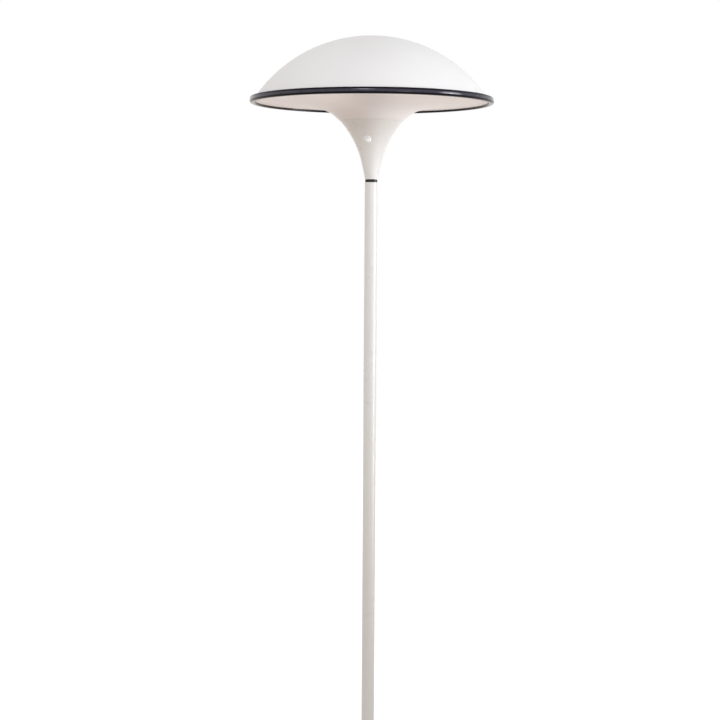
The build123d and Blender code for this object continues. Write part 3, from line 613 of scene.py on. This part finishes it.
whiteGloss = finishOf(
    "whiteGloss", fineGrain,
    {"Size": 900.0, "Depth": 0.003, "Gloss Low": 0.07, "Gloss High": 0.13,
     "Tone": (0.93, 0.925, 0.92, 1), "Second Tone": (0.915, 0.91, 0.905, 1)},
    wearAndShade={"group": {"Reach": 0.0005, "Amount": 0.25, "Break Up": 800.0},
          "colour": (0.6, 0.58, 0.55, 1), "gloss": 0.35},
    sockets={"IOR": 1.55, "Coat Weight": 1.0, "Coat Roughness": 0.04},
)
blackPlastic = finishOf(
    "blackPlastic", fineGrain,
    {"Size": 1600.0, "Depth": 0.03, "Gloss Low": 0.42, "Gloss High": 0.55,
     "Tone": (0.022, 0.022, 0.022, 1), "Second Tone": (0.03, 0.03, 0.03, 1)},
    wearAndShade={"group": {"Reach": 0.0006, "Amount": 0.4, "Break Up": 700.0},
          "colour": (0.09, 0.09, 0.09, 1), "gloss": 0.4},
    dust={"group": {"Amount": 0.15, "Size": 70.0}, "colour": (0.3, 0.29, 0.28, 1), "gloss": 0.8},
)
whitePlastic = finishOf(
    "whitePlastic", fineGrain,
    {"Size": 1400.0, "Depth": 0.02, "Gloss Low": 0.4, "Gloss High": 0.5,
     "Tone": (0.74, 0.735, 0.72, 1), "Second Tone": (0.70, 0.695, 0.68, 1)},
)
castIron = finishOf(
    "castIron", fineGrain,
    {"Size": 350.0, "Depth": 0.5, "Gloss Low": 0.55, "Gloss High": 0.8,
     "Tone": (0.1, 0.1, 0.1, 1), "Second Tone": (0.16, 0.15, 0.14, 1)},
    wearAndShade={"group": {"Reach": 0.002, "Amount": 0.6, "Break Up": 200.0},
          "colour": (0.3, 0.29, 0.28, 1), "gloss": 0.45},
    sockets={"Metallic": 0.7},
)
zincSteel = finishOf(
    "zincSteel", fineGrain,
    {"Size": 260.0, "Depth": 0.02, "Gloss Low": 0.26, "Gloss High": 0.42,
     "Tone": (0.60, 0.61, 0.60, 1), "Second Tone": (0.5, 0.51, 0.5, 1)},
    wearAndShade={"group": {"Reach": 0.0005, "Amount": 0.6, "Break Up": 600.0},
          "colour": (0.8, 0.8, 0.8, 1), "gloss": 0.2},
    dust={"group": {"Amount": 0.15, "Size": 50.0}, "colour": (0.45, 0.43, 0.4, 1), "gloss": 0.8},
    sockets={"Metallic": 1.0},
)
blackRubber = finishOf(
    "blackRubber", fineGrain,
    {"Size": 1200.0, "Depth": 0.06, "Gloss Low": 0.6, "Gloss High": 0.8,
     "Tone": (0.025, 0.025, 0.025, 1), "Second Tone": (0.045, 0.044, 0.043, 1)},
    wearAndShade={"group": {"Reach": 0.001, "Amount": 0.4, "Break Up": 400.0},
          "colour": (0.12, 0.115, 0.11, 1), "gloss": 0.8},
)
plainBrass = finishOf(
    "plainBrass", fineGrain,
    {"Size": 500.0, "Depth": 0.01, "Gloss Low": 0.2, "Gloss High": 0.36,
     "Tone": (0.76, 0.56, 0.27, 1), "Second Tone": (0.62, 0.45, 0.22, 1)},
    wearAndShade={"group": {"Reach": 0.0004, "Amount": 0.5, "Break Up": 700.0},
          "colour": (0.88, 0.7, 0.4, 1), "gloss": 0.15},
    sockets={"Metallic": 1.0},
)
porcelain = finishOf(
    "porcelain", fineGrain,
    {"Size": 700.0, "Depth": 0.03, "Gloss Low": 0.35, "Gloss High": 0.55,
     "Tone": (0.78, 0.76, 0.71, 1), "Second Tone": (0.72, 0.7, 0.65, 1)},
)
bulbOpal = finishOf(
    "bulbOpal", lacquerSkin,
    {"Wave Size": 300.0, "Wave Height": 0.006, "Gloss Low": 0.16, "Gloss High": 0.26,
     "Tone": (0.87, 0.87, 0.855, 1), "Second Tone": (0.855, 0.855, 0.84, 1)},
    dust={"group": {"Amount": 0.08, "Size": 60.0}, "colour": (0.72, 0.7, 0.67, 1), "gloss": 0.5},
    sockets={"IOR": 1.5},
)
bulbMetal = finishOf(
    "bulbMetal", fineGrain,
    {"Size": 500.0, "Depth": 0.008, "Gloss Low": 0.22, "Gloss High": 0.38,
     "Tone": (0.74, 0.74, 0.75, 1), "Second Tone": (0.62, 0.62, 0.63, 1)},
    wearAndShade={"group": {"Reach": 0.0003, "Amount": 0.5, "Break Up": 900.0},
          "colour": (0.9, 0.9, 0.9, 1), "gloss": 0.15},
    sockets={"Metallic": 1.0},
)


def wireFinish(name, tone, second):
    return finishOf(
        name, fineGrain,
        {"Size": 1500.0, "Depth": 0.01, "Gloss Low": 0.35, "Gloss High": 0.5,
         "Tone": tone, "Second Tone": second},
    )


wireBrown = wireFinish("wireBrown", (0.16, 0.07, 0.03, 1), (0.2, 0.09, 0.04, 1))
wireBlue = wireFinish("wireBlue", (0.03, 0.1, 0.42, 1), (0.04, 0.13, 0.5, 1))
wireGreen = wireFinish("wireGreen", (0.12, 0.36, 0.06, 1), (0.2, 0.42, 0.08, 1))
finishes = {
    "white_lacquer": whiteLacquer, "flare_lacquer": flareLacquer, "opal_shade": opalShade,
    "dark_band": darkBand, "black_gloss": blackGloss, "white_gloss": whiteGloss,
    "black_plastic": blackPlastic, "white_plastic": whitePlastic, "cast_iron": castIron,
    "zinc_steel": zincSteel, "rubber": blackRubber, "brass": plainBrass, "porcelain": porcelain,
    "bulb_opal": bulbOpal, "bulb_metal": bulbMetal,
    "wire_brown": wireBrown, "wire_blue": wireBlue, "wire_green": wireGreen,
}
for subpart in frame["record"]["subparts"]:
    for place in nodes[subpart["node"]].material_slots:
        place.material = finishes[subpart["material_slot"]]
print("finishes made:", len(finishes))


# dome shade: cap of a sphere, moulded opal

dome = {
    "skirtRadius": 229.4 * mm, "rise": 122.6 * mm, "skirtHeight": 5.2 * mm, "wall": 3.0 * mm,
    "footLevel": 1321.4 * mm, "rings": 100, "footRings": 8, "steps": 192,
}
domePiece = closeUp(runTree("domeShade", domeTree, {
    "Skirt Radius": dome["skirtRadius"], "Rise": dome["rise"], "Skirt Height": dome["skirtHeight"],
    "Wall": dome["wall"], "Foot Level": dome["footLevel"], "Rings": dome["rings"],
    "Foot Rings": dome["footRings"], "Steps": dome["steps"], "Material": opalShade,
}))
settle(domePiece, "dome", "dome_shade")
print("dome shade:", len(domePiece.data.polygons), "faces")


# rim band: rounded bead with a rebate for the dome and a groove for the flare's lip

band = {
    "bore": 229.0 * mm, "radius": 240.0 * mm, "foot": 1316.2 * mm, "top": 1329.2 * mm,
    "outerRounding": 5.4 * mm, "innerRounding": 2.4 * mm, "topRounding": 0.4 * mm,
    "rebate": 229.8 * mm, "grooveRadius": 233.55 * mm, "grooveFoot": 1320.1 * mm, "grooveTop": 1321.3 * mm,
    "steps": 256,
}
bandOutline = roundedOutline([
    (band["bore"], band["foot"], band["innerRounding"]),
    (band["radius"], band["foot"], band["outerRounding"]),
    (band["radius"], band["top"], band["outerRounding"]),
    (band["rebate"], band["top"], band["topRounding"]),
    (band["rebate"], band["grooveTop"], 0),
    (band["grooveRadius"], band["grooveTop"], 0),
    (band["grooveRadius"], band["grooveFoot"], 0),
    (band["bore"], band["grooveFoot"], 0),
], steps=12)
bandPiece = spinPiece("rimBand", bandOutline, darkBand, band["steps"])
settle(bandPiece, "lamp", "rim_band")


# reflector flare: pressed sheet, from the seam out to its lip in the band

seamLevel = 1283.2 * mm  # where the flare stands on the neck
flare = {
    "wall": 1.2 * mm, "mouth": 41.0 * mm, "slope": 1.14, "lipRadius": 233.5 * mm, "footRounding": 0.5 * mm,
    "way": [(63.1, 0.0), (99.0, 22.7), (134.4, 29.9), (229.0, 36.9)], "spacing": 2.5 * mm,
    "floorInset": 0.2 * mm, "steps": 192,
}
flareWay = tangentArcs(
    [(radius * mm, seamLevel + rise * mm) for radius, rise in flare["way"]], (1, flare["slope"]),
    flare["spacing"],
)
flareUnder = shifted(flareWay, 0)
flareOver = shifted(flareWay, flare["wall"])
floorTop = seamLevel + flare["wall"]
lipFoot = flareUnder[-1].y
flareOver = [point for point in flareOver if point.y > floorTop and point.x < flareUnder[-1].x]
footCorner = roundedOutline([
    (flare["mouth"], seamLevel, 0), (flareUnder[0].x, seamLevel, flare["footRounding"]), (*flareUnder[1], 0),
], steps=4)[1:-1]
flareOutline = (
    [Vector((flare["mouth"], seamLevel))] + footCorner + flareUnder[1:]
    + [Vector((flare["lipRadius"], lipFoot)), Vector((flare["lipRadius"], lipFoot + flare["wall"]))]
    + flareOver[::-1]
    + [Vector((flareOver[0].x - flare["floorInset"], floorTop)), Vector((flare["mouth"], floorTop))]
)
flarePiece = spinPiece("reflectorFlare", flareOutline, flareLacquer, flare["steps"])
settle(flarePiece, "lamp", "reflector_flare")


# neck: trumpet of two arcs, with a hole for the switch

neck = {
    "wall": 1.5 * mm, "foot": 1167.8 * mm, "slope": 0.18, "mouth": 40.0 * mm, "nippleHole": 5.05 * mm,
    "way": [(12.1, 0.0), (19.6, 35.2), (62.1, 115.4)], "spacing": 1.6 * mm, "edgeRounding": 0.4 * mm,
    "switchHole": 6.35 * mm, "cutFoot": -12.0 * mm, "cutTop": 6.0 * mm, "cutSteps": 64, "steps": 224,
}
switch = {
    "origin": Vector((-8.80246, -34.0366, 1244.3)) * mm,
    "axis": Vector((-0.222236, -0.859323, -0.460626)).normalized(),
}
switchTurn = Vector((0, 0, 1)).rotation_difference(switch["axis"]).to_matrix().to_4x4()
switchPlace = Matrix.Translation(switch["origin"]) @ switchTurn
neckWay = tangentArcs(
    [(radius * mm, neck["foot"] + rise * mm) for radius, rise in neck["way"]], (neck["slope"], 1),
    neck["spacing"],
)
neckOut = shifted(neckWay, 0)
neckFloor, neckRoof = neck["foot"] + neck["wall"], seamLevel - neck["wall"]
neckIn = [point for point in shifted(neckWay, neck["wall"]) if point.y > neckFloor]
neckIn = cutAtHeight(neckIn, neckRoof)
topCorner = roundedOutline([
    (*neckOut[-2], 0), (*neckOut[-1], neck["edgeRounding"]), (neck["mouth"], seamLevel, 0),
], steps=4)[1:-1]
neckOutline = (
    [Vector((neck["nippleHole"], neck["foot"]))] + neckOut[:-1] + topCorner
    + [Vector((neck["mouth"], seamLevel)), Vector((neck["mouth"], neckRoof))] + neckIn[::-1]
    + [Vector((neckIn[0].x, neckFloor)), Vector((neck["nippleHole"], neckFloor))]
)
neckPiece = spinPiece("neckCone", neckOutline, whiteLacquer, neck["steps"])
holeCutter = roundCutter("holeCutter", neck["switchHole"], neck["cutFoot"], neck["cutTop"], neck["cutSteps"])
holeCutter.data.transform(switchPlace)
settle(cutWith(neckPiece, holeCutter), "lamp", "neck_cone")


# push button in its bezel, both turned to the neck's wall

cap = {
    "radius": 5.3 * mm, "foot": 0.3 * mm, "rim": 2.0 * mm, "top": 4.6 * mm, "crownSteps": 16,
    "stemRadius": 3.5 * mm, "stemFoot": -10.7 * mm, "bevel": 0.3 * mm, "steps": 96,
}
bezel = {
    "radius": 8.2 * mm, "bore": 5.5 * mm, "wide": 6.35 * mm, "foot": -0.9 * mm, "lip": 2.34 * mm,
    "top": 2.6 * mm, "rounding": 2.3 * mm, "boreRounding": 0.12 * mm, "steps": 96,
}


def crownOf(radius, low, high, steps):
    # a quarter of an oval, from the rim up to the axis
    angles = [math.pi / 2 * step / steps for step in range(steps)]
    return [
        (radius * math.cos(angle), low + (high - low) * math.sin(angle)) for angle in angles
    ] + [(0, high)]


capPiece = spinPiece("buttonCap", [
    (0, cap["stemFoot"]), (cap["stemRadius"], cap["stemFoot"]), (cap["stemRadius"], cap["foot"]),
    (cap["radius"] - cap["bevel"], cap["foot"]), (cap["radius"], cap["foot"] + cap["bevel"]),
    *crownOf(cap["radius"], cap["rim"], cap["top"], cap["crownSteps"]),
], whiteGloss, cap["steps"], closed=False)
capPiece.data.transform(switchPlace)
settle(capPiece, "button", "switch_button")
bezelPiece = spinPiece("switchBezel", roundedOutline([
    (bezel["wide"], bezel["foot"], 0), (bezel["radius"], bezel["foot"], 0),
    (bezel["radius"], bezel["top"], bezel["rounding"]), (bezel["bore"], bezel["top"], bezel["boreRounding"]),
    (bezel["bore"], bezel["lip"], 0), (bezel["wide"], bezel["lip"], 0),
]), whiteGloss, bezel["steps"])
bezelPiece.data.transform(switchPlace)
settle(bezelPiece, "lamp", "switch_bezel")


# spring under the button; only its rest shape is built here, though it shortens as the button goes in

spring = {
    "foot": -22.15 * mm, "length": 11.1 * mm, "turns": 5.0, "radius": 3.0 * mm, "wire": 0.25 * mm,
    "stepsPerTurn": 32, "wireSides": 10, "keep": 0.78,
}
springPiece = closeUp(runTree("buttonSpring", coilTree, {
    "Turns": spring["turns"], "Coil Radius": spring["radius"], "Length": spring["length"],
    "Wire Radius": spring["wire"], "Steps Per Turn": spring["stepsPerTurn"],
    "Wire Sides": spring["wireSides"], "Material": zincSteel,
}))
springPiece.data.transform(switchPlace @ Matrix.Translation((0, 0, spring["foot"])))
settle(springPiece, "lamp", "switch_spring")
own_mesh(springPiece)


# collar and pole

collar = {
    "bore": 5.05 * mm, "radius": 12.1 * mm, "foot": 1162.3 * mm, "top": 1167.8 * mm, "rounding": 1.2 * mm,
    "steps": 128,
}
collarPiece = spinPiece("collarRing", roundedOutline([
    (collar["bore"], collar["foot"], 0), (collar["radius"], collar["foot"], collar["rounding"]),
    (collar["radius"], collar["top"], collar["rounding"]), (collar["bore"], collar["top"], 0),
]), blackGloss, collar["steps"])
settle(collarPiece, "lamp", "collar_ring")

pole = {
    "radius": 12.5 * mm, "bore": 11.0 * mm, "foot": 35.3 * mm, "top": 1162.3 * mm, "edge": 0.4 * mm,
    "steps": 128,
}
poleOutline = roundedOutline([
    (pole["bore"], pole["foot"], 0), (pole["radius"], pole["foot"], pole["edge"]),
    (pole["radius"], pole["top"], pole["edge"]), (pole["bore"], pole["top"], 0),
], steps=4)
polePiece = spinPiece("poleTube", poleOutline, whiteLacquer, pole["steps"])
settle(polePiece, "lamp", "pole_tube")
print("shade, neck and pole in place")


# base cover: spun sheet over the weight, with a rolled foot and the inlet's hole at the back

base = {
    "radius": 150.0 * mm, "wall": 1.5 * mm, "foot": 4.0 * mm, "rim": 31.3 * mm, "top": 35.3 * mm,
    "edge": 10.0 * mm, "flat": 20.0 * mm, "hole": 8.05 * mm, "flatRounding": 12.0 * mm,
    "footRounding": 0.6 * mm, "inletHeight": 14.0 * mm, "inletHole": 5.85 * mm, "cutReach": 6.0 * mm,
    "cutSteps": 64, "steps": 192,
}
innerRadius, innerRim, innerTop = (base[size] - base["wall"] for size in ("radius", "rim", "top"))
basePiece = spinPiece("baseCover", roundedOutline([
    (base["hole"], innerTop, 0), (base["flat"], innerTop, base["flatRounding"]),
    (innerRadius, innerRim, base["edge"] - base["wall"]), (innerRadius, base["foot"], base["footRounding"]),
    (base["radius"], base["foot"], base["footRounding"]), (base["radius"], base["rim"], base["edge"]),
    (base["flat"], base["top"], base["flatRounding"]), (base["hole"], base["top"], 0),
], steps=12), whiteLacquer, base["steps"])
inletCutter = roundCutter(
    "inletCutter", base["inletHole"], -base["cutReach"], base["cutReach"], base["cutSteps"]
)
inletTurn = Matrix.Rotation(math.radians(-90), 4, "X")
inletCutter.data.transform(Matrix.Translation((0, base["radius"], base["inletHeight"])) @ inletTurn)
settle(cutWith(basePiece, inletCutter), "lamp", "base_cover")


# rubber feet

feet = {
    "count": 6, "circle": 131.0 * mm, "radius": 10.0 * mm, "height": 4.0 * mm, "rounding": 0.8 * mm,
    "steps": 48,
}
oneFoot = spinPiece("oneFoot", roundedOutline([
    (0, 0, 0), (feet["radius"], 0, feet["rounding"]),
    (feet["radius"], feet["height"], 0), (0, feet["height"], 0),
], steps=5), blackRubber, feet["steps"], closed=False)
feetPiece = circlePiece("rubberFeet", oneFoot, blackRubber, feet["count"], feet["circle"])
settle(feetPiece, "lamp", "rubber_feet")


# screws with a cross recess, under the base and round the lampholder

screws = {
    "shank": 2.0 * mm, "head": 3.8 * mm, "headHeight": 2.4 * mm, "headRim": 0.9 * mm, "length": 12.0 * mm,
    "point": 0.4 * mm, "armReach": 2.1 * mm, "armHalf": 0.42 * mm, "recess": 1.3 * mm, "taper": 0.55,
    "crownSteps": 10, "steps": 40,
    "baseCount": 4, "baseCircle": 60.0 * mm, "baseLevel": 4.0 * mm, "baseStart": 45.0,
    "headCount": 3, "headCircle": 48.0 * mm, "headLevel": 1286.4 * mm,
}


def crossCutter(reach, half, low, high, taper):
    # a cross that narrows towards its low end
    arms = [
        (half, reach), (-half, reach), (-half, half), (-reach, half), (-reach, -half), (-half, -half),
        (-half, -reach), (half, -reach), (half, -half), (reach, -half), (reach, half), (half, half),
    ]
    corners = [(taper * x, taper * y, low) for x, y in arms] + [(x, y, high) for x, y in arms]
    count = len(arms)
    pairs = [(place, (place + 1) % count) for place in range(count)]
    sides = [(first, second, second + count, first + count) for first, second in pairs]
    mesh = bpy.data.meshes.new("crossCutter")
    mesh.from_pydata(corners, [], [tuple(range(count))[::-1], tuple(range(count, 2 * count))] + sides)
    cutter = bpy.data.objects.new("crossCutter", mesh)
    bpy.context.scene.collection.objects.link(cutter)
    return closeUp(cutter)


def oneScrew(name):
    # head upwards, with its underside at height 0
    piece = spinPiece(name, [
        (0, -screws["length"]), (screws["shank"] - screws["point"], -screws["length"]),
        (screws["shank"], -screws["length"] + screws["point"]), (screws["shank"], 0), (screws["head"], 0),
        *crownOf(screws["head"], screws["headRim"], screws["headHeight"], screws["crownSteps"]),
    ], zincSteel, screws["steps"], closed=False)
    top, recess = screws["headHeight"], screws["recess"]
    cutter = crossCutter(
        screws["armReach"], screws["armHalf"], top - recess, top + recess, screws["taper"]
    )
    return cutWith(piece, cutter)


baseScrew = oneScrew("baseScrew")
baseScrew.data.transform(
    Matrix.Translation((0, 0, screws["baseLevel"])) @ Matrix.Rotation(math.radians(180), 4, "X")
)
settle(circlePiece(
    "basePlateScrews", baseScrew, zincSteel, screws["baseCount"], screws["baseCircle"], screws["baseStart"]
), "lamp", "base_plate_screws")
headScrew = oneScrew("headScrew")
headScrew.data.transform(Matrix.Translation((0, 0, screws["headLevel"])))
settle(circlePiece(
    "headScrews", headScrew, zincSteel, screws["headCount"], screws["headCircle"]
), "lamp", "head_screws")
print("base and screws in place")


# camera at the photograph's angle

view = {
    "distance": 5.886, "aside": -0.0197, "height": 0.8138, "roll": 0.38, "lens": 150.0, "sensor": 36.0,
    "clip": (0.05, 200),
}
camera = bpy.data.objects.new("camera", bpy.data.cameras.new("camera"))
bpy.context.scene.collection.objects.link(camera)
camera.data.lens, camera.data.sensor_width = view["lens"], view["sensor"]
camera.data.clip_start, camera.data.clip_end = view["clip"]
camera.location = (view["aside"], -view["distance"], view["height"])
camera.rotation_euler = (
    Matrix.Rotation(math.radians(90), 3, "X") @ Matrix.Rotation(math.radians(view["roll"]), 3, "Z")
).to_euler()
bpy.context.scene.camera = camera


# floor, backdrop and light

studio = {
    "floorSize": 60.0, "floorColour": (0.83, 0.735, 0.67, 1), "floorWhite": 0.68,
    "skyColour": (0.68, 0.667, 0.645, 1), "skySeen": (1, 1, 1, 1),
}
lamps = {
    "keyLamp": {
        "place": (3.56, -0.68, 1.05), "lookAt": (0, 0, 1.2), "width": 3.2, "height": 1.2, "spread": 32.0,
        "power": 7.7, "colour": (0.87, 0.93, 1.0),
    },
    "fillLamp": {
        "place": (-0.5, -3.85, 2.6), "lookAt": (0, 0, 1.3), "width": 2.4, "height": 1.6, "spread": 24.0,
        "power": 3.8, "colour": (0.88, 0.93, 1.0),
    },
    "lowLamp": {
        "place": (1.9, -3.1, 0.2), "lookAt": (0, 0, 1.4), "width": 2.0, "height": 1.4, "spread": 20.0,
        "power": 0.9, "colour": (1.0, 0.97, 1.0),
    },
}
floorMesh = bpy.data.meshes.new("studioFloor")
half = studio["floorSize"] / 2
floorMesh.from_pydata(
    [(-half, -half, 0), (half, -half, 0), (half, half, 0), (-half, half, 0)], [], [(0, 1, 2, 3)]
)
floorPiece = bpy.data.objects.new("studioFloor", floorMesh)
bpy.context.scene.collection.objects.link(floorPiece)


def seenDirectly(tree):
    # 1 for what the camera sees, also by way of gloss and glass
    rays = addNode(tree, "ShaderNodeLightPath").outputs
    seen = maths(tree, "MAXIMUM", rays["Is Camera Ray"], rays["Is Glossy Ray"])
    return maths(tree, "MAXIMUM", seen, rays["Is Transmission Ray"])


floorFinish = bpy.data.materials.new("studioFloor")
floorFinish.use_nodes = True
floorTree = floorFinish.node_tree
floorTree.nodes.clear()
matt = addNode(floorTree, "ShaderNodeBsdfDiffuse", {"Color": studio["floorColour"]})
brightness = maths(floorTree, "MULTIPLY", seenDirectly(floorTree), studio["floorWhite"])
glow = addNode(floorTree, "ShaderNodeEmission", {"Color": (1, 1, 1, 1), "Strength": brightness})
together = addNode(floorTree, "ShaderNodeAddShader", {0: matt.outputs[0], 1: glow.outputs[0]})
addNode(floorTree, "ShaderNodeOutputMaterial", {"Surface": together.outputs[0]})
floorMesh.materials.append(floorFinish)

world = bpy.data.worlds.new("studio")
world.use_nodes = True
bpy.context.scene.world = world
worldTree = world.node_tree
worldTree.nodes.clear()
skyTone = mixOf(worldTree, "RGBA", seenDirectly(worldTree), studio["skyColour"], studio["skySeen"])
sky = addNode(worldTree, "ShaderNodeBackground", {"Color": skyTone, "Strength": 1.0})
addNode(worldTree, "ShaderNodeOutputWorld", {"Surface": sky.outputs[0]})

for name, values in lamps.items():
    lamp = bpy.data.objects.new(name, bpy.data.lights.new(name, "AREA"))
    lamp.data.shape, lamp.data.energy = "RECTANGLE", values["power"]
    lamp.data.size, lamp.data.size_y = values["width"], values["height"]
    lamp.data.color, lamp.data.spread = values["colour"], math.radians(values["spread"])
    lamp.location = values["place"]
    aim = Vector(values["lookAt"]) - Vector(values["place"])
    lamp.rotation_euler = aim.to_track_quat("-Z", "Y").to_euler()
    bpy.context.scene.collection.objects.link(lamp)
bpy.context.scene.view_settings.view_transform = "Standard"
print("studio ready")
